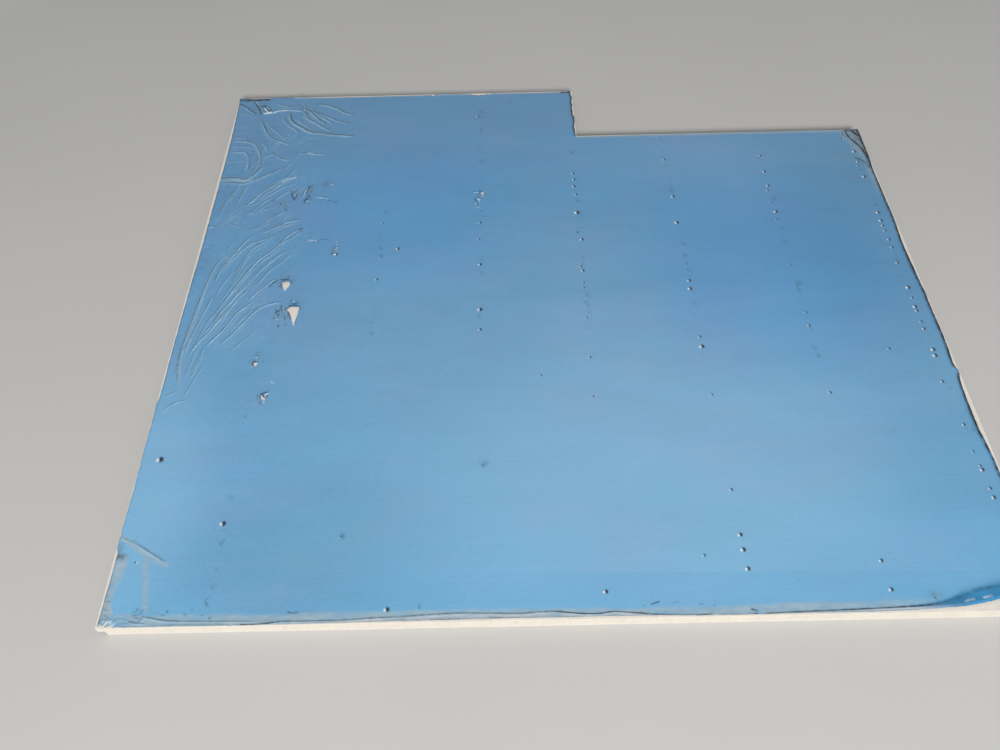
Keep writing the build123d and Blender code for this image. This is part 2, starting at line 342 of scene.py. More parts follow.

# Painted shade along folds, torn lips and the roll, and dark specks, as (strength, half width, the points
# that they run through)
SHADE_AND_DIRT_STROKES = [
    (0.8, 1.6, [(-815, 52), (-813, 58), (-809, 64), (-804, 69), (-800, 72), (-796, 76)]),
    (0.6, 1.7, [(-795, 64), (-793, 65)]), (0.7, 1.8, [(-786, 77), (-781, 77), (-775, 75)]),
    (0.9, 1.8, [(-774, 79), (-770, 79), (-764, 77)]), (0.6, 1.8, [(-765, 87)]),
    (0.5, 2.0, [(-757, 72), (-754, 66), (-753, 63)]), (0.45, 1.7, [(-784, 65), (-783, 55), (-780, 45)]),
    (0.5, 1.5, [(-787, 52), (-787, 47)]), (0.6, 1.4, [(-762, 44)]),
    (0.4, 1.2, [(-779, 69), (-773, 68), (-767, 71), (-763, 70)]),
    (0.9, 2.0, [(-747, -24), (-740, -25), (-732, -24), (-724, -27)]),
    (0.6, 2.0, [(-747, -4), (-743, -6)]),
    (0.55, 2.3, [(-739, -17), (-729, -17)]), (0.6, 1.4, [(-749, -33)]),
    (0.5, 1.7, [(-717, -30), (-716, -36)]), (0.6, 1.3, [(-756, -31), (-756, -36)]),
    (0.7, 1.4, [(-747, -51), (-743, -61), (-739, -70), (-737, -74)]), (0.35, 1.7, [(-748, -62)]),
    (0.35, 1.4, [(-721, -65), (-722, -76), (-723, -89)]),
    (0.8, 1.7, [(-770, -23), (-770, -32), (-773, -39), (-778, -43), (-781, -48), (-780, -52)]),
    (0.7, 1.7, [(-778, -56), (-774, -57)]), (0.75, 2.0, [(-778, -66)]),
    (0.6, 1.1, [(-756, -66), (-755, -77)]), (0.45, 1.4, [(-751, -90), (-747, -93)]),
    (0.6, 1.4, [(-769, -94), (-768, -101)]), (0.3, 1.1, [(-788, -101)]),
    (0.7, 2.2, [(-819, -223), (-816, -219), (-812, -219), (-809, -219)]),
    (0.6, 1.6, [(-820, -228), (-817, -235), (-815, -238)]), (0.7, 1.4, [(-814, -200), (-810, -201)]),
    (0.4, 1.1, [(-812, -209), (-808, -209)]), (0.35, 1.4, [(-815, -188), (-811, -187)]),
    (0.35, 1.1, [(-832, -218)]), (0.35, 1.6, [(-792, -219), (-791, -224)]),
    (0.35, 1.1, [(-814, -246), (-812, -246)]),
    (0.9, 1.8, [(-782, -328), (-778, -326), (-773, -322), (-765, -320)]),
    (0.75, 1.3, [(-776, -331), (-772, -335), (-768, -336), (-765, -334), (-763, -330)]),
    (0.8, 1.6, [(-782, -337), (-780, -343), (-779, -346)]), (0.7, 1.6, [(-780, -353), (-778, -357)]),
    (0.5, 1.1, [(-791, -332), (-789, -334)]), (0.5, 1.0, [(-789, -339), (-787, -340)]),
    (0.4, 1.3, [(-776, -348), (-774, -353)]), (0.5, 1.3, [(-811, -345)]),
    (0.7, 1.6, [(-804, 448), (-801, 436), (-796, 425), (-791, 417)]),
    (0.5, 1.6, [(-790, 418), (-787, 431), (-786, 448), (-786, 454)]),
    (0.5, 1.6, [(-799, 453), (-792, 451), (-786, 456)]),
    (0.75, 1.6, [(-752, 476), (-750, 467), (-753, 453), (-755, 442)]),
    (0.5, 1.6, [(-744, 474), (-742, 481)]),
    (0.65, 1.6, [(-743, 453), (-746, 442), (-749, 429), (-754, 421), (-758, 414)]),
    (0.85, 1.9, [(-759, 413), (-758, 404)]), (0.7, 1.6, [(-753, 415), (-749, 418)]),
    (0.4, 1.6, [(-744, 430), (-740, 418)]), (0.4, 1.6, [(-750, 403), (-745, 398)]),
    (0.4, 1.6, [(-684, 492), (-676, 491)]), (0.35, 1.9, [(-703, 492), (-701, 482)]),
    (0.3, 1.3, [(-707, 414), (-695, 413)]), (0.65, 1.6, [(-686, 410), (-679, 409)]),
    (0.4, 1.3, [(-670, 405), (-665, 403)]), (0.45, 1.6, [(-662, 400), (-659, 399)]),
    (0.6, 1.9, [(-833, 395), (-830, 401), (-823, 400)]), (0.45, 1.6, [(-817, 393), (-812, 395)]),
    (0.5, 2.2, [(-812, 377), (-811, 369)]), (0.4, 1.3, [(-861, 412), (-853, 411)]),
    (0.7, 1.5, [(-820, 302), (-814, 303), (-811, 305)]), (0.4, 1.8, [(-809, 229), (-807, 236)]),
    (0.4, 2.5, [(-757, 282), (-752, 285)]), (0.55, 1.8, [(-718, 243), (-715, 245)]),
    (0.45, 1.2, [(-715, 229), (-705, 230), (-695, 233)]),
    (0.5, 1.2, [(-688, 238), (-679, 239), (-665, 237)]), (0.55, 1.2, [(-640, 208), (-636, 208)]),
    (0.5, 1.2, [(-642, 199), (-638, 198)]), (0.5, 1.2, [(-642, 188), (-637, 188)]),
    (0.6, 1.2, [(-642, 178), (-635, 179)]), (0.5, 1.5, [(-645, 181), (-651, 177)]),
    (0.55, 2.5, [(-209, 424), (-208, 433), (-205, 438)]),
    (0.7, 1.9, [(-223, 401), (-220, 397), (-218, 394)]), (0.55, 1.9, [(-222, 385)]),
    (0.4, 1.6, [(-214, 385)]), (0.45, 1.6, [(-218, 372)]),
    (0.85, 2.1, [(-1044, 910), (-1031, 900), (-1016, 887), (-1006, 877)]),
    (0.65, 1.7, [(-1006, 877), (-996, 866), (-982, 855)]),
    (0.8, 2.1, [(-986, 904), (-978, 891), (-972, 878), (-967, 866)]),
    (0.6, 2.8, [(-965, 859), (-962, 852)]),
    (0.9, 2.5, [(-969, 894), (-962, 897), (-954, 892), (-948, 881), (-941, 874), (-932, 869)]),
    (0.6, 1.4, [(-929, 865), (-918, 869), (-910, 871), (-901, 875)]),
    (0.4, 1.7, [(-956, 872), (-949, 867)]), (0.3, 3.5, [(-865, 852)]),
    (1, 2.2, [(1007, 697), (1008, 672), (1019, 639), (1033, 610), (1041, 568), (1044, 520)]),
    (1, 4, [(1029, 693), (1036, 677), (1044, 664)]),
    (0.7, 2, [(1003, 556), (1018, 545), (1033, 526), (1038, 504)]),
    (0.45, 1.3, [(1017, 530), (1027, 522), (1033, 510)]), (0.4, 1.3, [(1005, 554)]),
    (0.4, 1.3, [(1008, 540)]), (0.4, 1.3, [(1002, 518)]), (0.35, 1.3, [(1002, 503)]),
    (0.35, 1.3, [(1006, 496)]),
    (0.5, 0.9, [(-950, -917), (-922, -922), (-900, -926), (-866, -928)]),
    (0.3, 1, [(-866, -928), (-822, -930), (-778, -931)]),
    (0.2, 1.2, [(-778, -931), (-690, -932), (-602, -933)]),
    (0.75, 1.2, [(-732, -939.5), (-700, -939), (-667, -936.5), (-646, -935)]),
    (0.28, 1.3, [(-646, -935), (-580, -934), (-515, -933.5), (-449, -930.5), (-383, -928.5)]),
    (0.3, 1.6, [(-383, -928.5), (-318, -925), (-252, -922.5), (-164, -925), (-121, -926.5),
        (-66, -923.5)]),
    (0.75, 1.2, [(-66, -923.5), (-44, -923), (10, -929), (54, -930), (87, -926.5), (141, -931),
        (163, -933.5)]),
    (0.5, 1.1, [(163, -933.5), (206, -936), (271, -937.5)]), (0.8, 1.2, [(271, -937.5), (298, -936)]),
    (0.4, 1, [(413, -938), (467, -936)]), (0.65, 1.2, [(467, -936), (533, -934), (599, -932.5)]),
    (0.8, 1.4, [(599, -932.5), (665, -931), (709, -929.5)]),
    (0.95, 1.8, [(700, -929.5), (742, -927.5), (775, -925)]),
    (0.6, 2, [(775, -925), (795, -922.5)]), (0.3, 2.3, [(797, -922), (817, -917.5), (836, -911)]),
    (0.34, 4.5, [(838, -911), (862, -903), (895, -892.5), (950, -883)]),
    (0.11, 7, [(850, -899), (870, -891), (900, -883), (950, -874)]),
    (0.45, 0.8, [(-318, -935.5), (-252, -937)]), (0.45, 0.8, [(-186, -935), (-121, -936.5)]),
    (0.9, 1.3, [(-53, -923)]), (0.8, 1.2, [(-22, -925.5)]), (0.8, 1.3, [(386, -928), (397, -930.5)]),
    (0.7, 1.2, [(390, -937), (396, -937)]), (0.6, 1.0, [(419, -937), (434, -937)]),
    (0.85, 1.2, [(-631, -913), (-624, -915), (-617, -915.5), (-610, -914)]),
    (0.7, 1.1, [(168, -911.5), (177, -909), (186, -906)]), (0.4, 1.1, [(152, -914)]),
    (0.45, 1.2, [(307, -917.5)]), (0.35, 1, [(275, -913.5), (282, -913)]),
    (0.35, 1, [(214, -909.5), (230, -906.5)]),
    (0.6, 1.2, [(790, -909), (793, -913)]), (0.35, 1.0, [(-905, -937), (-820, -936), (-760, -938)]),
    (0.3, 0.8, [(-1017, -734), (-990, -751), (-971, -763), (-950, -775), (-931, -787)]),
    (0.4, 1.7, [(-839, 795), (-812, 773), (-782, 750), (-748, 744), (-706, 734), (-665, 727),
        (-631, 724)]),
    (0.35, 1.6, [(-773, 903), (-736, 890), (-700, 872), (-670, 849), (-641, 837)]),
    (0.42, 1.6, [(-815, 876), (-792, 859), (-775, 836), (-756, 814), (-733, 791)]),
    (0.3, 1.4, [(-796, 865), (-767, 852), (-730, 829), (-693, 806), (-651, 794)]),
    (0.5, 1.7, [(-1044, 523), (-1013, 525), (-980, 521), (-960, 516)]),
    (0.3, 1.4, [(-941, 400), (-926, 414), (-912, 435), (-894, 461), (-872, 484), (-850, 503)]),
    (0.28, 1.4, [(-955, 815), (-939, 777), (-924, 745), (-899, 717), (-870, 701)]),
    (0.3, 1.4, [(-861, 856), (-856, 823), (-839, 795)]),
    (0.9, 3.2, [(-1045, 930), (-1000, 929), (-946, 932)]),
    (0.95, 4, [(1046, 692), (1048, 660), (1049, 610), (1048, 565)]),
    (0.9, 1.9, [(110, 939), (111, 920), (114, 910), (112, 891), (109, 876), (109, 854), (105, 830)]),
    (0.9, 1.9, [(105, 830), (108, 805), (113, 775), (108, 757), (110, 733), (113, 716), (112, 698)]),
    (0.4, 0.8, [(-977, -910), (-969, -905), (-966, -900)]),
    (0.4, 0.8, [(-974, -914), (-961, -912), (-953, -901)]),
    (0.45, 0.8, [(-979, -928), (-968, -929), (-955, -930)]),
    (0.4, 0.8, [(-968, -919), (-955, -921), (-949, -916)]),
    (0.95, 1.5, [(-998.5, -791), (-998.5, -788)]),
    (0.35, 0.8, [(-1015, -925), (-1003, -920), (-985, -923)]),
    (0.35, 0.8, [(-1009, -934), (-992, -931), (-974, -932)]),
    (0.5, 0.9, [(-1044, -931), (-1042, -924), (-1036, -921), (-1026, -924)]),
    (0.4, 0.9, [(-1036, -913), (-1028, -918), (-1018, -922)]),
    (0.35, 0.9, [(-1046, -899), (-1030, -902)]),
    (0.3, 0.9, [(-1044, -881), (-1031, -881)]), (0.7, 1.3, [(-898, -907)]), (0.85, 1.5, [(-858, -914)]),
    (0.4, 1.1, [(-862, -913)]), (0.95, 1.5, [(-803, -923)]), (0.5, 0.9, [(-796, -919)]),
    (0.5, 1.3, [(-817, -888)]), (0.3, 1.1, [(-820, -879)]), (0.35, 0.9, [(-847, -903)]),
    (0.4, 0.9, [(-911, -914), (-906, -914)]), (0.5, 0.9, [(-823, -916), (-818, -916)]),
]

# White glints and bared spots, in the same form
FLECKS = [
    (0.6, 2.3, [(-738, -8)]), (0.75, 1.8, [(-777, -72)]), (0.35, 1.7, [(-759, -74)]),
    (0.9, 1.4, [(-813, -205), (-811, -205)]), (0.6, 1.1, [(-811, -214)]), (0.5, 1.3, [(-819, -236)]),
    (0.75, 1.3, [(-770, -334), (-768, -329), (-763, -324)]), (0.5, 1.2, [(-771, -349), (-772, -352)]),
    (0.4, 0.9, [(-775, -354)]), (0.4, 1.6, [(-760, -287), (-759, -291)]),
    (0.45, 1.6, [(-749, 409), (-749, 403)]), (0.3, 1.3, [(-745, 444), (-746, 440)]),
    (0.6, 1.6, [(-682, 483), (-680, 483)]), (0.85, 1.8, [(-716, 235)]), (0.35, 1.5, [(-639, 224)]),
    (0.7, 1.7, [(-638, 214)]), (0.75, 1.7, [(-637, 202)]), (0.9, 1.8, [(-639, 193)]),
    (0.6, 1.3, [(-639, 184)]), (0.95, 1.8, [(-640, 173), (-637, 173)]), (0.85, 2.5, [(-195, 429)]),
    (0.4, 1.6, [(-196, 423), (-197, 416)]), (0.4, 1.6, [(-199, 414), (-204, 413)]),
    (0.35, 1.6, [(-205, 426)]), (0.85, 2.5, [(-212, 397), (-210, 397)]),
    (0.4, 1.9, [(-218, 382), (-219, 379)]), (0.35, 1.1, [(-209, 387), (-209, 383)]),
    (0.35, 1.2, [(-219, 364)]), (0.9, 2.1, [(-955, 884), (-950, 876), (-944, 866)]),
    (1, 3.1, [(-952, 856), (-940, 857), (-929, 859)]),
    (0.9, 1.7, [(-920, 858), (-910, 864), (-904, 866)]),
    (0.55, 2.1, [(-900, 867), (-890, 869), (-878, 869)]), (0.6, 2.4, [(-1020, -927), (-1019, -931)]),
    (0.9, 2.2, [(-1042, -935), (-1036, -937), (-1030, -934)]), (0.8, 1.7, [(-1030, -932), (-1026, -927)]),
    (0.6, 1.5, [(-1036, -926)]), (1.0, 2.8, [(-1018, -938), (-1013, -937)]), (0.6, 1.3, [(-1008, -932)]),
    (0.9, 1.3, [(-994, -790)]),
    (0.55, 0.9, [(850, -921), (860, -919.5)]), (0.4, 2.2, [(858, -918), (872, -916.5)]),
    (0.85, 1.2, [(893, -914), (904, -912)]), (0.35, 2.4, [(898, -912.5), (912, -910)]),
    (0.8, 1.3, [(299, -940), (312, -939.5)]),
    (0.7, 1.5, [(-841, 501), (-823, 512), (-800, 521)]), (0.6, 1.6, [(-775, 640), (-758, 639)]),
    (0.45, 1.4, [(-720, 234), (-700, 232)]),
]

# Pale bands where the film stands off the skin, in the same form
HAZES = [
    (0.95, 6, [(-1041, -730), (-1017, -744), (-985, -764), (-950, -783), (-926, -797)]),
    (0.85, 6, [(-975, -780), (-970, -808), (-962, -844), (-956, -874), (-948, -902)]),
    (0.7, 5, [(-1037, 512), (-995, 511), (-958, 507), (-943, 512)]),
    (0.45, 4, [(-999, 60), (-1002, 20), (-1006, -44), (-1010, -97), (-1013, -152)]),
    (0.45, 4, [(-1015, -190), (-1016, -232), (-1010, -266), (-1000, -300)]),
    (0.5, 3, [(-823, 286), (-800, 297), (-775, 308)]),
]

# Soft patches of painted sheen and painted shade on the film, as (x, y, reach along x, reach along y, share,
# colour) in metres: the first are mixed in, the second multiply the colour
PAINTED_SHEEN_PATCHES = [
    (0.22, -0.60, 1.00, 0.72, 0.20, (0.42, 0.61, 0.77)),
    (-1.02, -0.60, 0.24, 0.50, 0.20, (0.38, 0.63, 0.86)),
    (0.36, 0.60, 0.50, 0.26, 0.10, (0.34, 0.52, 0.72)),
]
PAINTED_SHADE_PATCHES = [
    (0.66, 0.10, 0.66, 0.62, 1.0, (0.74, 0.91, 1.03)),
    (-0.42, 0.36, 0.56, 0.52, 1.0, (0.76, 0.96, 1.06)),
    (-0.60, -0.80, 0.50, 0.34, 1.0, (0.93, 0.91, 0.90)),
    (1.00, 0.22, 0.50, 0.85, 1.0, (0.79, 0.87, 0.88)),
    (0.95, -0.55, 0.35, 0.35, 1.0, (0.88, 0.94, 0.95)),
    (-0.90, 0.25, 0.45, 1.00, 1.0, (0.86, 0.94, 0.99)),
    (0.20, 0.50, 0.50, 0.40, 1.0, (0.86, 0.98, 1.02)),
]


# Film

def spread(points, step):
    """Points every step along the runs of a line."""
    points = np.asarray(points, float)
    runs = np.hypot(*np.diff(points, axis=0).T)
    along = np.concatenate([[0], np.cumsum(runs)])
    count = max(2, int(round(along[-1] / step)) + 1)
    at = np.linspace(0, along[-1], count)
    return np.stack([np.interp(at, along, points[:, 0]), np.interp(at, along, points[:, 1])], 1)


def smooth_line(points, step):
    """A round line through a few points, with a point every step."""
    p = np.asarray(points, float)
    p = np.vstack([2 * p[0] - p[1], p, 2 * p[-1] - p[-2]])
    out = []
    for a, b, c, d in zip(p[:-3], p[1:-2], p[2:-1], p[3:]):
        count = max(1, int(np.hypot(*(c - b)) / step))
        t = np.arange(count)[:, None] / count
        out.append(0.5 * (2 * b + (c - a) * t + (2 * a - 5 * b + 4 * c - d) * t ** 2
                          + (3 * b - 3 * c + d - a) * t ** 3))
    out.append(p[-2][None])
    return np.vstack(out)


def gap_at(table, places):
    """The value of a table of (place, value) at some places."""
    table = np.asarray(table, float)
    return np.interp(places, table[:, 0], table[:, 1])


def film_outline(step=4.0):
    """The cut edge of the film, round the whole board, counter-clockwise."""
    def run(start, end):
        return np.linspace(start, end, max(2, int(abs(end - start) / step) + 1))[:-1]

    def rough(values):
        return values + rng.normal(0, 0.25, len(values))

    right_near = RIGHT - gap_at(RIGHT_GAPS, -904)
    x = run(LEFT + 4, right_near)
    near = np.stack([x, NEAR + np.maximum(0.3, rough(gap_at(NEAR_GAPS, x)))], 1)
    y = run(NEAR + gap_at(NEAR_GAPS, right_near), CUT_Y - 1)
    right = np.stack([RIGHT - np.maximum(0.3, rough(gap_at(RIGHT_GAPS, y))), y], 1)
    x = run(RIGHT - 1, CUT_X - 3)
    step_side = np.stack([x, CUT_Y - np.maximum(0.3, rough(gap_at(STEP_GAPS, x)))], 1)
    y = run(CUT_Y - 4, FAR - 3)
    notch = np.stack([CUT_X - np.maximum(0.3, rough(gap_at(NOTCH_GAPS, y))), y], 1)
    x = run(CUT_X - 6, LEFT + 5)
    far = np.stack([x, FAR - np.maximum(0.3, rough(gap_at(FAR_GAPS, x)))], 1)
    y = run(FAR - 4, NEAR + 15)
    left = np.stack([LEFT + np.maximum(0.3, rough(gap_at(LEFT_GAPS, y))), y], 1)
    return np.vstack([near, right, step_side, notch, far, left])


def inside(points, loop):
    """Which points lie inside a closed line."""
    x, y = points[:, 0], points[:, 1]
    hit = np.zeros(len(points), bool)
    for (ax, ay), (bx, by) in zip(loop, np.roll(loop, -1, axis=0)):
        if ay == by:
            continue
        crosses = (ay > y) != (by > y)
        hit ^= crosses & (x < (bx - ax) * (y - ay) / (by - ay) + ax)
    return hit


def nearest(points, line, reach):
    """Distance to a line, its side and the share of its length passed, for points within reach of it."""
    line = np.asarray(line, float)
    low, high = line.min(0) - reach, line.max(0) + reach
    picked = np.flatnonzero(np.all((points > low) & (points < high), axis=1))
    p = points[picked]
    best = np.full(len(p), 1e9)
    side = np.zeros(len(p))
    share = np.zeros(len(p))
    runs = np.hypot(*np.diff(line, axis=0).T)
    along = np.concatenate([[0], np.cumsum(runs)])
    for i, (a, b) in enumerate(zip(line[:-1], line[1:])):
        d = b - a
        t = np.clip(((p - a) @ d) / max(d @ d, 1e-9), 0, 1)
        off = p - a - t[:, None] * d
        dist = np.hypot(off[:, 0], off[:, 1])
        closer = dist < best
        best[closer] = dist[closer]
        side[closer] = np.sign(d[0] * off[closer, 1] - d[1] * off[closer, 0])
        share[closer] = (along[i] + t[closer] * runs[i]) / along[-1]
    keep = best < reach
    return picked[keep], best[keep], side[keep], share[keep]


def soft_noise(points, size, seed):
    """Smooth noise from -1 to 1 with features of a size, the same on each run."""
    own = np.random.default_rng(seed)
    grid = own.uniform(-1, 1, (256, 256))
    u = points / size + own.uniform(0, 256, 2)
    i = np.floor(u).astype(int)
    f = u - i
    f = f * f * (3 - 2 * f)
    a = grid[i[:, 0] % 256, i[:, 1] % 256]
    b = grid[(i[:, 0] + 1) % 256, i[:, 1] % 256]
    c = grid[i[:, 0] % 256, (i[:, 1] + 1) % 256]
    d = grid[(i[:, 0] + 1) % 256, (i[:, 1] + 1) % 256]
    return (a * (1 - f[:, 0]) + b * f[:, 0]) * (1 - f[:, 1]) + (c * (1 - f[:, 0]) + d * f[:, 0]) * f[:, 1]


def distance_to(points, line, reach):
    """Distance from each point to a line, or reach where it is further."""
    far_off = np.full(len(points), float(reach))
    picked, dist, _, _ = nearest(points, line, reach)
    far_off[picked] = dist
    return far_off


def companions():
    """Fainter creases that run beside the long ones of the left side."""
    made = []
    for height, _, points in CREASES:
        if len(points) < 6 or height < 1.5 or points[0][0] > -640 or points[0][1] < -400:
            continue
        line = smooth_line(points, 5)
        for side in (-1, 1):
            first, last = int(len(line) * rng.uniform(0, 0.35)), int(len(line) * rng.uniform(0.6, 1))
            moved = beside(line, [side * rng.uniform(6, 11)])[0][first:last:4]
            if len(moved) > 2:
                made.append((height * rng.uniform(0.28, 0.45), 3, moved))
    return made


def beside(line, offsets):
    """Copies of a line, each moved sideways by one of the offsets."""
    d = np.gradient(line, axis=0)
    across = np.stack([-d[:, 1], d[:, 0]], 1) / np.maximum(np.hypot(d[:, 0], d[:, 1]), 1e-6)[:, None]
    return [line + across * off for off in offsets]


def drawn_lines(table):
    """Smooth lines for a table of strokes, where one point alone makes a dot."""
    made = []
    for strength, width, points in table:
        if len(points) == 1:
            points = [points[0], (points[0][0] + 0.4, points[0][1])]
        made.append((strength, width, smooth_line(points, 2.5)))
    return made


outline = film_outline()
holes = []
for tear in TEARS:
    loop = spread(np.vstack([tear, tear[:1]]), 1.8)[:-1]
    holes.append(loop + rng.normal(0, 0.25, loop.shape))
creases = []
for height, width, points in CREASES + companions():
    if points[0][1] > 420 and points[0][0] < -600:
        width *= 1.35  # the curls of the far left corner are broader
    line = smooth_line(points, 3.5)
    lean = rng.choice([-1, 1]) * rng.uniform(0.1, 0.45)
    creases.append((height, width, line, lean, rng.uniform(0, 6.28)))
shade_and_dirt_lines, flecks, hazes = drawn_lines(SHADE_AND_DIRT_STROKES), drawn_lines(FLECKS), drawn_lines(HAZES)

dots = []
for row_x, low, high in DOT_ROWS:
    y = low
    while y < high:
        y += rng.exponential(38) + 12
        dots.append((row_x + rng.normal(0, 2.6), y, rng.uniform(0.12, 0.42)))
blisters = BLISTERS + dots


def ring(x, y, radius, count):
    """Points round a circle."""
    turn = np.arange(count) * 2 * np.pi / count + radius
    return np.stack([x + radius * np.cos(turn), y + radius * np.sin(turn)], 1)


def lattice(step, x0, x1, y0, y1):
    """Rows of points over a rectangle, a little uneven."""
    gx, gy = np.meshgrid(np.arange(x0, x1, step), np.arange(y0, y1, step * 0.866))
    gx = gx + (np.arange(gx.shape[0]) % 2)[:, None] * step / 2
    p = np.stack([gx.ravel(), gy.ravel()], 1)
    return p + rng.uniform(-0.16, 0.16, p.shape) * step


def thinned(points, spacing, chosen):
    """The points of the film that keep a spacing from each other and from those chosen before."""
    cells = {(int(x // spacing), int(y // spacing)) for group in chosen for x, y in group}
    kept = []
    for x, y in points:
        i, j = int(x // spacing), int(y // spacing)
        if not cells.isdisjoint(((i, j), (i + 1, j), (i - 1, j), (i, j + 1), (i, j - 1))):
            continue
        cells.add((i, j))
        kept.append((x, y))
    kept = np.array(kept)
    kept = kept[inside(kept, outline)]
    for hole in holes:
        kept = kept[~inside(kept, hole)]
    return kept


def film_points():
    """Where the film's mesh has its points: closer together where it is creased, lifted or cut."""
    detail = []
    for loop in [outline] + holes:
        d = np.roll(loop, -1, axis=0) - np.roll(loop, 1, axis=0)
        inward = np.stack([-d[:, 1], d[:, 0]], 1) / np.hypot(d[:, 0], d[:, 1])[:, None]
        if loop is not outline:
            inward *= np.sign(np.mean(np.sum(inward * (loop - loop.mean(0)), axis=1)))
        detail += [loop + inward * off for off in (1.3, 2.9, 5.2)]
    for _, width, line in shade_and_dirt_lines + flecks:
        detail += beside(line, [width * share for share in (0, 0.8, -0.8, 1.8, -1.8)])
        ahead = (line[-1] - line[0]) / max(np.hypot(*(line[-1] - line[0])), 1e-6)
        tips = width * np.array([[0.9], [1.9]])
        detail += [line[-1] + ahead * tips, line[0] - ahead * tips]
    for _, width, line, _, _ in creases:
        detail += beside(line, [width * share for share in (0, 0.35, -0.35, 0.8, -0.8, 1.4, -1.4, 2.2, -2.2)])
    for x, y, size in blisters:
        radius = 2.2 + 2.6 * size
        for share, count in ((0, 1), (0.3, 7), (0.6, 9), (0.95, 11), (1.3, 12), (1.75, 12)):
            if size > 0.5 or share < 1:
                detail.append(ring(x, y, radius * share, count))

    fine = [
        lattice(3.2, LEFT, RIGHT, NEAR, NEAR + 34), lattice(3.2, 1030, RIGHT, NEAR, CUT_Y),
        lattice(3.2, 975, RIGHT, 500, CUT_Y), lattice(3.0, 720, RIGHT, NEAR, -850),
        lattice(3.4, LEFT, -1034, NEAR, FAR), lattice(3.4, 92, CUT_X, CUT_Y - 7, FAR),
        lattice(3.0, LEFT, -985, NEAR, -740), lattice(3.6, 100, RIGHT, CUT_Y - 17, CUT_Y),
        lattice(3.6, LEFT, CUT_X, FAR - 18, FAR), lattice(2.6, -800, -700, -125, 100),
    ]
    middle = [
        lattice(6.0, LEFT, -640, -420, 925), lattice(7.0, 1000, 1040, NEAR, CUT_Y),
        lattice(7.0, LEFT, RIGHT, NEAR + 34, -880), lattice(6.0, -1040, -900, -900, -700),
    ]
    chosen = [np.vstack([outline] + holes)]
    coarse = lattice(12.5, LEFT, RIGHT, NEAR, FAR)
    for points, spacing in ((detail, 0.9), (fine, 1.6), (middle, 3.2), ([coarse], 6.5)):
        chosen.append(thinned(np.vstack(points), spacing, chosen))
    return chosen[0], np.vstack(chosen[1:])


def drawn_on(p, lines, wider=1.0, stronger=1.0):
    """How strongly each point is covered by a set of drawn lines."""
    shown = np.zeros(len(p))
    for strength, width, line in lines:
        i, dist, _, _ = nearest(p, line, width * wider * 3)
        shown[i] = np.maximum(shown[i], min(1, strength * stronger) * np.exp(-(dist / width / wider) ** 2))
    return shown


def crease_relief(p):
    """Height of the creases, with the hazy band, the painted shade along each and the painted highlight on
    its gentle flank.
    """
    z, hazy, crease_shade, bright = np.zeros((4, len(p)))
    for height, width, line, lean, turn in creases:
        i, dist, side, share = nearest(p, line, width * 3.2)
        run = line[-1] - line[0]
        steep = np.sign(run[0] * 0.87 + run[1] * 0.5) or 1.0
        gentle = side != steep
        wide = np.where(gentle, 0.8, 0.38) * width * (1 + 0.2 * lean)
        taper = np.clip(share * (1 - share) * 9, 0, 1) ** 0.6
        wander = 0.8 + 0.2 * np.sin(share * 9 + turn)
        shade_variation = np.clip(0.8 + 0.6 * soft_noise(p[i], 7, 31), 0.15, 1.3)
        z[i] += height * taper * wander * np.exp(-(np.sqrt(dist ** 2 + 0.3) - 0.55) / (0.8 * wide))
        band = np.exp(-((dist - 0.5 * width * gentle) / (0.9 * width)) ** 2) * np.where(gentle, 1, 0.25)
        hazy[i] = np.maximum(hazy[i], 0.22 * min(1, height / 2) * taper * band)
        dark_at = np.where(gentle, 0, 0.25) * width
        dark_reach = np.where(gentle, 0.3, 0.4) * width
        dark = np.exp(-((dist - dark_at) / dark_reach) ** 2) * shade_variation
        crease_shade[i] = np.maximum(crease_shade[i], min(1, height / 2.2) * taper * dark)
        lit = np.exp(-((dist - 0.65 * width) / (0.36 * width)) ** 2) * gentle * shade_variation
        bright[i] = np.maximum(bright[i], 0.42 * min(1, height / 2) * taper * wander * lit)
    return z, hazy, crease_shade, bright


def blister_relief(p):
    """Height of the blisters, with the painted shadow and the painted highlight of each."""
    x, y = p[:, 0], p[:, 1]
    z, dark, bright = np.zeros((3, len(p)))
    for bx, by, size in blisters:
        radius = 2.2 + 2.6 * size
        d = np.hypot(x - bx, y - by)
        i = np.flatnonzero(d < radius * 2.4)
        z[i] += (0.2 + 0.9 * size) * np.exp(-(d[i] / (0.62 * radius)) ** 2)
        apart = 0.9 + 1.6 * size
        across = (x[i] - bx - apart) / (1.4 + 1.3 * size)
        along = (y[i] - by) / (1.8 + 1.6 * size)
        spot = max(0, size - 0.2) * 3 * np.exp(-(across ** 2 + along ** 2))
        dark[i] = np.maximum(dark[i], np.minimum(1, spot))
        if size > 0.55:
            across = (x[i] - bx + apart) / (1.1 + 0.9 * size)
            along = (y[i] - by + 1) / (1.4 + 1.3 * size)
            spot = (1.5 * size - 0.45) * np.exp(-(across ** 2 + along ** 2))
            bright[i] = np.maximum(bright[i], np.minimum(1, spot))
    return z, dark, bright


def edge_relief(p, edge):
    """How far the film's edges are lifted off the skin."""
    x, y = p[:, 0], p[:, 1]
    wave = (2.6 + 1.1 * np.sin(y / 41) + 0.9 * np.sin(y / 97 + 1)) * np.clip(np.abs(y + 300) / 26, 0, 1)
    z = np.exp(-((RIGHT - x) / 22) ** 2) * (y < CUT_Y) * wave * np.exp(-edge / 6)
    lift = np.exp(-((y - NEAR) / 26) ** 2) * gap_at(NEAR_LIFT, x) * (1 + 0.25 * np.sin(x / 23))
    lift += np.exp(-((FAR - y) / 24) ** 2) * (x < CUT_X) * gap_at(FAR_LIFT, x)
    at_notch = (y > CUT_Y - 6) * (x < CUT_X)
    lift += np.exp(-((CUT_X - x) / 14) ** 2) * at_notch * (1.8 + 1.2 * soft_noise(p, 11, 6))
    lift += (x < -1030) * np.clip(0.5 + soft_noise(p, 13, 7), 0, 1) * 1.3
    return z + lift * np.exp(-edge / 4)


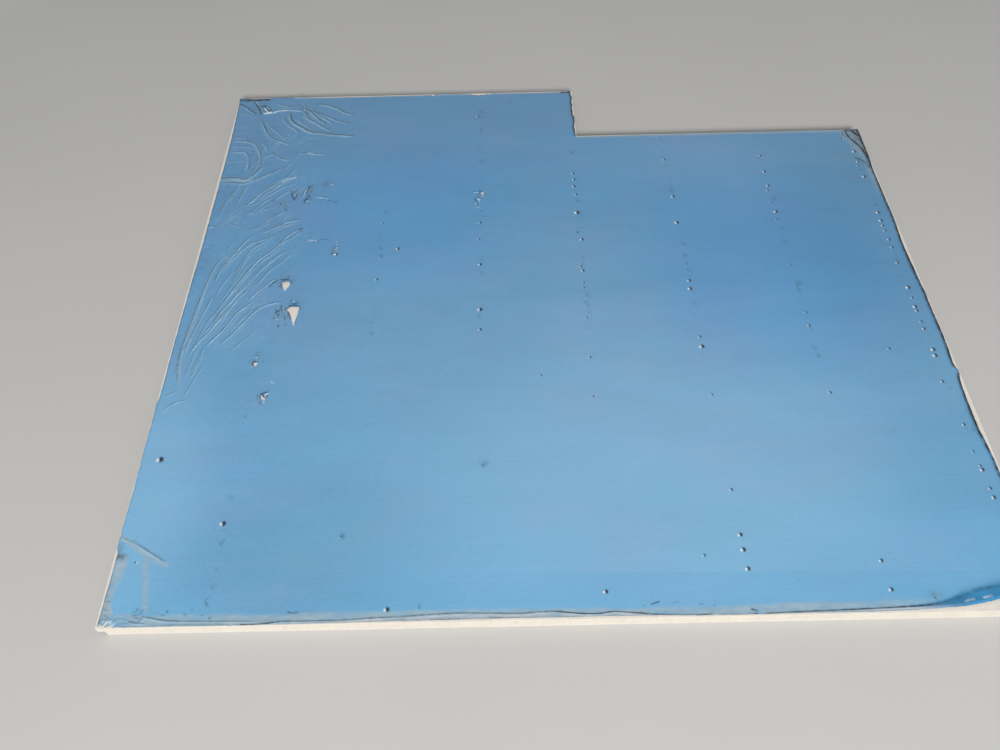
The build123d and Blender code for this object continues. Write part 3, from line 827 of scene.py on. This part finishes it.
def edge_rim(p, edge):
    """How dark the film is along its own edge: part dirt, part painted shadow under the lifted edge."""
    x, y = p[:, 0], p[:, 1]
    sides = [
        (RIGHT - x, RIGHT_RIM, y, 5.4, y < CUT_Y),
        (CUT_X - x, NOTCH_RIM, y, 4.8, (y > CUT_Y - 4) & (x < CUT_X)),
        (x - LEFT, LEFT_RIM, y, 2.3, x < 0),
        (FAR - y, FAR_RIM, x, 2.3, x < CUT_X),
        (y - NEAR, NEAR_RIM, x, 1.6, y < 0),
    ]
    rim = np.zeros(len(p))
    for off, table, place, width, there in sides:
        strength = gap_at(table, place) * there * (np.abs(off) < 40)
        rim = np.maximum(rim, strength * np.minimum(1, 1.5 * np.exp(-(edge / width) ** 2)))
    return rim * np.clip(0.98 + 0.4 * soft_noise(p, 9, 21), 0, 1.1)


def strip_border(y):
    """Where the pale strip along the left edge ends, near the corner."""
    return np.interp(y, [-925, -877, -838, -802], [-1015, -1026, -1018, -1011])


def hazy_places(p, deep_blue_and_shade):
    """Where the film stands off the skin and looks greyer, apart from its creases."""
    x, y = p[:, 0], p[:, 1]
    reach = gap_at(NEAR_HAZE, x) + 2.5 * soft_noise(p, 40, 12)
    uneven = np.clip(0.92 + 0.4 * soft_noise(p * (0.25, 1), 7, 19), 0, 1)
    band = np.clip((reach - (y - NEAR)) / 8, 0, 1) * uneven
    hazy = band * (1 - deep_blue_and_shade) * gap_at(NEAR_HAZE_SHARE, x)
    ragged = 0.8 + 0.3 * soft_noise(p, 16, 11)
    strip_x = strip_border(y) + 6 * soft_noise(p, 30, 13)
    strip = np.clip((strip_x - x) / 8, 0, 1) * np.clip((-772 - y) / 12, 0, 1)
    fold_x = np.interp(y, [560, 600, 640, 694], [1046, 1032, 1018, 1004])
    corner = np.clip((x - fold_x + 26) / 16, 0, 1) * np.clip((y - 500) / 60, 0, 1)
    for more in (
        strip * ragged,
        (0.7 + 0.2 * (x > fold_x)) * corner * (0.9 + 0.2 * soft_noise(p, 16, 18)),
        0.55 * np.clip((x - 1022) / 14, 0, 1) * np.clip((y - 350) / 120, 0, 1),
        0.55 * (y > CUT_Y - 16) * (x > CUT_X) * np.clip((y - CUT_Y + 14) / 6, 0, 1),
        0.5 * np.clip((y - FAR + 10) / 5, 0, 1) * (x > -860),
    ):
        hazy = np.maximum(hazy, more)
    return hazy


def hole_lips(p):
    """Height of the torn holes' lips, with a darkening round each that is strongest on its far-left side, and
    their pale torn edge.
    """
    z, darkening, torn = np.zeros((3, len(p)))
    for hole, height in zip(holes, (3.2, 3.0, 2.0, 2.6)):
        off = p - hole.mean(0)
        d = distance_to(p, np.vstack([hole, hole[:1]]), 30)
        side = 0.55 + 0.45 * np.cos(np.arctan2(off[:, 1], off[:, 0]) - 2.5)
        z += (d < 30) * height * side * (0.8 + 0.2 * soft_noise(p, 5, 8)) * np.exp(-d / 5)
        darkening = np.maximum(darkening, 0.45 * side * np.exp(-(d / 5) ** 2))
        torn = np.maximum(torn, 0.5 * np.exp(-(d / 1.1) ** 2) * (1 - side))
    return z, darkening, torn


def film_height(p):
    """Height of the film over the skin, and the layers that its material is made up of."""
    x, y = p[:, 0], p[:, 1]
    edge = distance_to(p, np.vstack([outline, outline[:1]]), 40)
    crease_z, crease_haze, crease_shade, crease_highlight = crease_relief(p)
    blister_z, blister_shadow, blister_highlight = blister_relief(p)
    lip_z, lip_darkening, lip_torn = hole_lips(p)
    z = 0.25 + 0.12 * soft_noise(p, 90, 1) + 0.05 * soft_noise(p, 24, 2)
    z += crease_z + blister_z + lip_z + edge_relief(p, edge)

    # Near right corner, where the film is rolled up
    top = gap_at(ROLL_TOP, x)
    low = NEAR + gap_at(NEAR_GAPS, x)
    run = np.clip((top - y) / np.maximum(top - low, 4), 0, 1)
    z += gap_at(ROLL_HEIGHT, x) * (run ** 1.5) * (1 - 0.5 * np.clip((run - 0.8) / 0.2, 0, 1) ** 2)
    deep_blue_and_shade = np.clip(run * 3.2, 0, 1) * np.clip((x - 730) / 90, 0, 1)
    # Painted shade: a dark blue patch beyond the largest tear
    deep_blue_and_shade = np.maximum(deep_blue_and_shade, 0.85 * np.exp(-((x + 733) / 15) ** 2 - ((y + 15) / 9) ** 2))

    # Pale margins, where the skin shows through
    beyond = np.clip((gap_at(NEAR_FOLD, x) - y - 0.6) / 1.2, 0, 1)
    pale = beyond * gap_at(NEAR_PALE, x) * np.clip(0.9 + 0.25 * soft_noise(p * (0.3, 1), 6, 23), 0, 1)
    at_far = (x > -860) * (x < CUT_X) * np.clip(1 - (edge - 2) / 3, 0, 1) * (y > FAR - 14)
    at_step = (x > CUT_X) * np.clip(1 - (edge - 1) / 2, 0, 1) * (y > CUT_Y - 8)
    patchy = np.clip(0.6 + 0.5 * soft_noise(p, 14, 27), 0, 1)
    at_strip = np.clip((strip_border(y) - x) / 8, 0, 1) * np.clip((-780 - y) / 12, 0, 1) * patchy
    pale = np.maximum(pale, 0.35 * at_far + 0.4 * at_step + 0.4 * at_strip)

    loose = np.maximum.reduce([crease_haze, drawn_on(p, hazes), hazy_places(p, deep_blue_and_shade)])
    broken = np.clip(0.95 + 0.5 * soft_noise(p * (0.6, 1), 6, 25), 0.35, 1.2)
    # Painted shade of folds and blisters, dark specks, and the film's dark edge
    shade_and_dirt = np.maximum.reduce([drawn_on(p, shade_and_dirt_lines, 1.15, 1.25) * broken, blister_shadow, edge_rim(p, edge)])
    glints_and_bare_spots = np.maximum.reduce([drawn_on(p, flecks, 1.1, 1.15), blister_highlight, lip_torn])
    stain_and_shade = lip_darkening
    for sx, sy, rx, ry, strength in STAINS_AND_SHADE:
        d = ((x - sx) / rx) ** 2 + ((y - sy) / ry) ** 2
        i = np.flatnonzero(d < 6)
        stain_and_shade[i] = np.maximum(stain_and_shade[i], strength * np.exp(-d[i]) * (0.7 + 0.5 * soft_noise(p[i], 4, 14)))
    layers = {
        "loose": loose, "deep_blue_and_shade": deep_blue_and_shade, "stain_and_shade": stain_and_shade, "crease_shade": crease_shade,
        "pale": pale, "shade_and_dirt": shade_and_dirt, "glints_and_bare_spots": glints_and_bare_spots, "painted_glint": crease_highlight,
    }
    return np.clip(z, 0.12, TALLEST), layers


def make_film():
    """The film's mesh with its layers, and its area in square metres."""
    fixed, free = film_points()
    edges, start = [], 0
    for loop in [outline] + holes:
        n = len(loop)
        edges += [(start + i, start + (i + 1) % n) for i in range(n)]
        start += n
    flat = [Vector(v) for v in np.vstack([fixed, free])]
    points, _, faces, _, _, _ = delaunay_2d_cdt(flat, edges, [], 1, 1e-5)
    p = np.array([(v.x, v.y) for v in points])
    tri = np.array([f for f in faces])
    middle = p[tri].mean(axis=1)
    keep = np.ones(len(tri), bool)
    for hole in holes:
        keep &= ~inside(middle, hole)
    tri = tri[keep]
    used = np.unique(tri)
    new = np.full(len(p), -1)
    new[used] = np.arange(len(used))
    p, tri = p[used], new[tri]
    a, b, c = p[tri[:, 0]], p[tri[:, 1]], p[tri[:, 2]]
    area = 0.5 * ((b - a)[:, 0] * (c - a)[:, 1] - (b - a)[:, 1] * (c - a)[:, 0])
    tri[area < 0] = tri[area < 0][:, ::-1]
    z, layers = film_height(p)
    mesh = bpy.data.meshes.new("blue_film")
    mesh.from_pydata(np.column_stack([p * MM, (FACE + z) * MM]).tolist(), [], tri.tolist())
    for name, values in layers.items():
        written = mesh.attributes.new(name, "FLOAT", "POINT")
        written.data.foreach_set("value", np.clip(values, 0, 1).astype(np.float32))
    mesh.polygons.foreach_set("use_smooth", np.ones(len(tri), bool))
    mesh.update()
    made = bpy.data.objects.new("blue_film", mesh)
    bpy.context.scene.collection.objects.link(made)
    return made, float(np.abs(area).sum()) * MM * MM


# Materials

def start(name):
    """A new material with its node tree and its main shader."""
    made = bpy.data.materials.new(name)
    made.use_nodes = True
    return made, made.node_tree, made.node_tree.nodes["Principled BSDF"]


def node(tree, kind, inputs=(), **settings):
    """A new node with its inputs linked or set, and its settings."""
    made = tree.nodes.new(kind)
    for key, value in settings.items():
        setattr(made, key, value)
    for socket, value in dict(inputs).items():
        if isinstance(value, bpy.types.NodeSocket):
            tree.links.new(value, made.inputs[socket])
        else:
            made.inputs[socket].default_value = value
    return made


def noise(tree, scale, stretch=(1, 1, 1), detail=3.0, roughness=0.5):
    coords = node(tree, "ShaderNodeTexCoord").outputs["Object"]
    placed = node(tree, "ShaderNodeMapping", {"Vector": coords, "Scale": stretch}).outputs["Vector"]
    inputs = {"Vector": placed, "Scale": scale, "Detail": detail, "Roughness": roughness}
    return node(tree, "ShaderNodeTexNoise", inputs).outputs["Fac"]


def span(tree, value, low, high, to_low=0.0, to_high=1.0, **settings):
    inputs = {"Value": value, "From Min": low, "From Max": high, "To Min": to_low, "To Max": to_high}
    return node(tree, "ShaderNodeMapRange", inputs, **settings).outputs["Result"]


def calc(tree, operation, a, b):
    return node(tree, "ShaderNodeMath", {0: a, 1: b}, operation=operation).outputs[0]


def vector(tree, operation, *terms):
    return node(tree, "ShaderNodeVectorMath", dict(enumerate(terms)), operation=operation).outputs


def mix(tree, factor, a, b, blend="MIX"):
    made = node(tree, "ShaderNodeMix", {0: factor, 6: a, 7: b}, data_type="RGBA", blend_type=blend)
    return made.outputs[2]


def mottled(tree, a, b, *noise_settings):
    """A colour that drifts between two."""
    return mix(tree, span(tree, noise(tree, *noise_settings), 0.35, 0.65), a, b)


def layer(tree, name):
    return node(tree, "ShaderNodeAttribute", attribute_name=name).outputs["Fac"]


def bump(tree, height, distance, strength=1.0, under=None):
    inputs = {"Height": height, "Distance": distance, "Strength": strength}
    if under is not None:
        inputs["Normal"] = under
    return node(tree, "ShaderNodeBump", inputs).outputs["Normal"]


def join(tree, socket, value):
    tree.links.new(value, socket)


def film_material():
    made, tree, shader = start("film_blue")
    coords = node(tree, "ShaderNodeTexCoord").outputs["Object"]
    place = node(tree, "ShaderNodeSeparateXYZ", {"Vector": coords})
    x, y = place.outputs["X"], place.outputs["Y"]
    # Lighter towards the near edge and darker towards the far one: painted light falloff and sheen
    painted_falloff_ramp = node(tree, "ShaderNodeValToRGB", {"Fac": span(tree, y, -0.94, 0.94)})
    painted_falloff_ramp.color_ramp.elements[0].color = (0.139, 0.378, 0.605, 1)
    painted_falloff_ramp.color_ramp.elements[1].color = (0.105, 0.266, 0.459, 1)
    middle = painted_falloff_ramp.color_ramp.elements.new(0.4)
    middle.color = (0.149, 0.346, 0.550, 1)
    cloud = noise(tree, 2.2, (1, 3.2, 1), 5, 0.6)
    streak = noise(tree, 1.0, (3, 240, 1), 3, 0.6)
    fine = noise(tree, 1.0, (60, 1300, 1), 2)
    grain = noise(tree, 240, (1, 1, 1), 3, 0.6)
    tone = span(tree, cloud, 0.3, 0.7, 0.95, 1.05)
    for drift, swing in ((streak, 0.03), (fine, 0.045), (grain, 0.05)):
        tone = calc(tree, "ADD", tone, span(tree, drift, 0.3, 0.7, -swing, swing))
    colour = mix(tree, 1.0, painted_falloff_ramp.outputs["Color"], tone, "MULTIPLY")
    dusty = span(tree, noise(tree, 5.5, (1, 1.8, 1), 6, 0.65), 0.50, 0.74, 0, 0.10)
    colour = mix(tree, dusty, colour, (0.31, 0.39, 0.44, 1))
    tint = span(tree, noise(tree, 3.1, (1, 1.6, 1), 5, 0.6), 0.46, 0.66, 0, 0.9)
    colour = mix(tree, tint, colour, (1.12, 0.97, 1.0, 1), "MULTIPLY")
    # Painted sheen patches are mixed in, then painted shade patches multiply the colour
    for table, blend in ((PAINTED_SHEEN_PATCHES, "MIX"), (PAINTED_SHADE_PATCHES, "MULTIPLY")):
        for at_x, at_y, reach_x, reach_y, share, shade in table:
            off = vector(tree, "SUBTRACT", coords, (at_x, at_y, FACE * MM))[0]
            off = vector(tree, "MULTIPLY", off, (1 / reach_x, 1 / reach_y, 0))[0]
            length = vector(tree, "LENGTH", off)["Value"]
            soft = span(tree, length, 0.1, 1, share, 0, interpolation_type="SMOOTHERSTEP")
            colour = mix(tree, soft, colour, (*shade, 1), blend)
    # Below that line the film is a little bluer, with a faint dark line along it: a painted change of
    # reflection
    reflection_line = calc(tree, "ADD", y, calc(tree, "MULTIPLY", x, REFLECTION_LINE_SLOPE))
    bluer = span(tree, reflection_line, REFLECTION_LINE_Y + 0.002, REFLECTION_LINE_Y - 0.002, 0, 0.22)
    below = calc(tree, "MULTIPLY", bluer, span(tree, x, -0.5, 0.1))
    colour = mix(tree, below, colour, (0.10, 0.34, 0.61, 1))
    line = calc(tree, "ABSOLUTE", calc(tree, "SUBTRACT", reflection_line, REFLECTION_LINE_Y), 0.0)
    line = calc(tree, "MULTIPLY", span(tree, line, 0.0006, 0.0022, 0.06, 0), span(tree, x, 0.2, 0.5))
    colour = mix(tree, line, colour, (0.08, 0.16, 0.24, 1))
    # Faint crackle between the creases of the left side
    crackled = calc(tree, "MULTIPLY", span(tree, x, -0.62, -0.85), span(tree, y, -0.45, 0.1))
    turn = {"Vector": coords, "Rotation": (0, 0, 1.0), "Scale": (4.5, 1, 1)}
    turned = node(tree, "ShaderNodeMapping", turn, vector_type="TEXTURE").outputs["Vector"]
    vein = node(tree, "ShaderNodeTexNoise", {"Vector": turned, "Scale": 42.0, "Detail": 2.0}).outputs["Fac"]
    vein = calc(tree, "ABSOLUTE", calc(tree, "SUBTRACT", vein, 0.5), 0.0)
    crackle = calc(tree, "MULTIPLY", crackled, span(tree, vein, 0.0, 0.03, 1, 0))
    patchy = noise(tree, 11, detail=2)
    for end, most, shade in ((0.6, 0.22, (0.40, 0.56, 0.66, 1)), (0.4, 0.28, (0.04, 0.12, 0.22, 1))):
        share = calc(tree, "MULTIPLY", crackle, span(tree, patchy, 0.5, end, 0, most))
        colour = mix(tree, share, colour, shade)
    # Rolled up and loose places, painted shade and painted highlights along the creases, and stains with
    # painted shadow
    # Deeper blue where the film is rolled up and doubled, and painted shade beyond the largest tear
    deep_blue = mottled(tree, (0.020, 0.19, 0.40, 1), (0.034, 0.31, 0.60, 1), 9, (1, 3, 1), 3)
    colour = mix(tree, calc(tree, "MULTIPLY", layer(tree, "deep_blue_and_shade"), 0.92), colour, deep_blue)
    haze = mottled(tree, (0.26, 0.36, 0.425, 1), (0.35, 0.445, 0.49, 1), 90, (0.4, 1, 1), 4, 0.6)
    colour = mix(tree, calc(tree, "MULTIPLY", layer(tree, "loose"), 0.85), colour, haze)
    # Painted shade along the creases, then painted highlights on their gentle flanks
    colour = mix(tree, calc(tree, "MULTIPLY", layer(tree, "crease_shade"), 0.88), colour, (0.028, 0.078, 0.125, 1))
    colour = mix(tree, layer(tree, "painted_glint"), colour, (0.56, 0.86, 0.98, 1))
    # Stains, the darkening round the holes, and painted shadow in the far right corner
    grit = span(tree, noise(tree, 300, detail=3), 0.35, 0.6, 0.5, 1.1)
    darkening = calc(tree, "MULTIPLY", layer(tree, "stain_and_shade"), grit)
    colour = mix(tree, darkening, colour, (0.105, 0.125, 0.125, 1))
    speck_cell = node(tree, "ShaderNodeTexVoronoi", {"Vector": coords, "Scale": 26.0})
    drawn = node(tree, "ShaderNodeSeparateColor", {"Color": speck_cell.outputs["Color"]}).outputs[0]
    chosen = span(tree, drawn, 0.93, 0.94)
    speck = calc(tree, "MULTIPLY", chosen, span(tree, speck_cell.outputs["Distance"], 0.02, 0.045, 0.55, 0))
    colour = mix(tree, speck, colour, (0.03, 0.05, 0.07, 1))
    thin = mottled(tree, (0.30, 0.36, 0.41, 1), (0.52, 0.52, 0.54, 1), 130, (0.3, 1, 1), 4, 0.6)
    colour = mix(tree, layer(tree, "pale"), colour, thin)
    # Painted shade, dark specks and edge dirt, drawn near black
    colour = mix(tree, layer(tree, "shade_and_dirt"), colour, (0.008, 0.018, 0.034, 1))
    # Painted glints and highlights, and the white of bared skin and torn edges
    colour = mix(tree, layer(tree, "glints_and_bare_spots"), colour, (0.68, 0.77, 0.84, 1))
    join(tree, shader.inputs["Base Color"], colour)
    rough = span(tree, cloud, 0.3, 0.7, 0.34, 0.44)
    rough = calc(tree, "ADD", rough, span(tree, fine, 0.3, 0.7, -0.04, 0.04))
    rough = calc(tree, "ADD", rough, calc(tree, "MULTIPLY", layer(tree, "loose"), 0.1))
    join(tree, shader.inputs["Roughness"], rough)
    shader.inputs["Specular IOR Level"].default_value = 0.45
    wave = bump(tree, noise(tree, 45, (1, 2, 1), 3), 0.0006, 0.5)
    join(tree, shader.inputs["Normal"], bump(tree, streak, 0.00008, 0.6, wave))
    return made


def skin_material(name, colour, grime):
    made, tree, shader = start(name)
    cloud = noise(tree, 9, detail=5, roughness=0.6)
    specks = noise(tree, 420, detail=2)
    tone = span(tree, cloud, 0.3, 0.7, 0.94, 1.04)
    base = mix(tree, 1.0, (*colour, 1), tone, "MULTIPLY")
    base = mix(tree, span(tree, specks, 0.62, 0.72, 0, grime), base, (0.30, 0.25, 0.19, 1))
    dirty = span(tree, noise(tree, 26, detail=6, roughness=0.7), 0.52, 0.75, 0, grime)
    base = mix(tree, dirty, base, (0.42, 0.37, 0.30, 1))
    join(tree, shader.inputs["Base Color"], base)
    join(tree, shader.inputs["Roughness"], span(tree, cloud, 0.3, 0.7, 0.42, 0.6))
    weave = noise(tree, 700, (1, 1, 1), 2)
    join(tree, shader.inputs["Normal"], bump(tree, weave, 0.0001, 0.35))
    return made


def foam_material():
    made, tree, shader = start("foam_edge")
    coords = node(tree, "ShaderNodeTexCoord").outputs["Object"]
    cells = node(tree, "ShaderNodeTexVoronoi", {"Vector": coords, "Scale": 900.0}).outputs["Distance"]
    saw = noise(tree, 1.0, (420, 420, 18), 3, 0.6)
    cloud = noise(tree, 14, detail=5, roughness=0.6)
    tone = calc(tree, "ADD", span(tree, cloud, 0.3, 0.7, 0.94, 1.04), span(tree, saw, 0.3, 0.7, -0.05, 0.04))
    base = mix(tree, 1.0, (0.62, 0.58, 0.51, 1), tone, "MULTIPLY")
    base = mix(tree, span(tree, cells, 0.0, 0.3, 0.25, 0), base, (0.52, 0.45, 0.34, 1))
    dirty = span(tree, noise(tree, 40, detail=6, roughness=0.7), 0.56, 0.76, 0, 0.35)
    base = mix(tree, dirty, base, (0.42, 0.36, 0.28, 1))
    join(tree, shader.inputs["Base Color"], base)
    shader.inputs["Roughness"].default_value = 0.85
    shader.inputs["Specular IOR Level"].default_value = 0.25
    rough = bump(tree, saw, 0.0006, 0.6)
    join(tree, shader.inputs["Normal"], bump(tree, cells, 0.0005, 0.7, rough))
    return made


def seen_directly(tree):
    """1 for what the camera sees, in a reflection or through glass too, and 0 for the light it gives."""
    path = node(tree, "ShaderNodeLightPath").outputs
    either = calc(tree, "MAXIMUM", path["Is Camera Ray"], path["Is Glossy Ray"])
    return calc(tree, "MAXIMUM", either, path["Is Transmission Ray"])


def floor_material():
    made, tree, shader = start("pale_floor")
    tone = span(tree, noise(tree, 1.3, detail=4), 0.3, 0.7, 0.985, 1.015)
    join(tree, shader.inputs["Base Color"], mix(tree, 1.0, (0.52, 0.512, 0.50, 1), tone, "MULTIPLY"))
    shader.inputs["Roughness"].default_value = 0.9
    shader.inputs["Specular IOR Level"].default_value = 0.1
    # Away from the panel it shows as an even pale backdrop, which lights nothing
    away = vector(tree, "LENGTH", node(tree, "ShaderNodeTexCoord").outputs["Object"])["Value"]
    far_out = span(tree, away, 2.4, 3.9, interpolation_type="SMOOTHERSTEP")
    glow = node(tree, "ShaderNodeEmission", {"Color": PALE})
    shown = calc(tree, "MULTIPLY", far_out, seen_directly(tree))
    both = node(tree, "ShaderNodeMixShader", {0: shown, 1: shader.outputs[0], 2: glow.outputs[0]})
    join(tree, tree.nodes["Material Output"].inputs["Surface"], both.outputs[0])
    return made


def finish_with(piece, material):
    piece.data.materials.clear()
    piece.data.materials.append(material)


film, film_area = make_film()
finish_with(film, film_material())
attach(film, "root")
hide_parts("protective_film")

finish_with(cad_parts["top_skin"], skin_material("skin_white", (0.74, 0.69, 0.625), 0.25))
finish_with(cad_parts["bottom_skin"], skin_material("skin_underside", (0.72, 0.69, 0.64), 0.55))
finish_with(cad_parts["core"], foam_material())


# Floor, light and camera

bpy.ops.mesh.primitive_plane_add(size=60)
floor = bpy.context.object
floor.name = "floor"
finish_with(floor, floor_material())

world = bpy.data.worlds.new("studio")
bpy.context.scene.world = world
world.use_nodes = True
sky = world.node_tree
sky_light = sky.nodes["Background"]
sky_light.inputs["Color"].default_value = (0.95, 0.975, 1.0, 1)
sky_light.inputs["Strength"].default_value = 0.35
backdrop = node(sky, "ShaderNodeBackground", {"Color": PALE})
skies = {0: seen_directly(sky), 1: sky_light.outputs[0], 2: backdrop.outputs[0]}
both_skies = node(sky, "ShaderNodeMixShader", skies)
join(sky, sky.nodes["World Output"].inputs["Surface"], both_skies.outputs[0])


def lamp(name, place, target, size, power, colour):
    light = bpy.data.lights.new(name, "AREA")
    light.shape = "RECTANGLE"
    light.size, light.size_y = size
    light.energy = power
    light.color = colour
    made = bpy.data.objects.new(name, light)
    made.location = place
    made.rotation_euler = (Vector(target) - Vector(place)).to_track_quat("-Z", "Y").to_euler()
    bpy.context.scene.collection.objects.link(made)


# The one lamp stands on the near side, 33 degrees up, as the shadow in the photo says
lamp("key", (0.1, -7.6, 4.9), (0, 0, 0), (2.6, 1.8), 885, (1.0, 0.985, 0.965))

# The camera that the panel's straight edges in the photo give
camera = bpy.data.objects.new("camera", bpy.data.cameras.new("camera"))
camera.data.lens = 29.88
camera.location = (-0.1445, -1.5699, 1.8139)
camera.rotation_euler = (math.radians(35.9354), math.radians(0.9448), math.radians(-0.8319))
bpy.context.scene.collection.objects.link(camera)
bpy.context.scene.camera = camera
bpy.context.scene.view_settings.view_transform = "Standard"
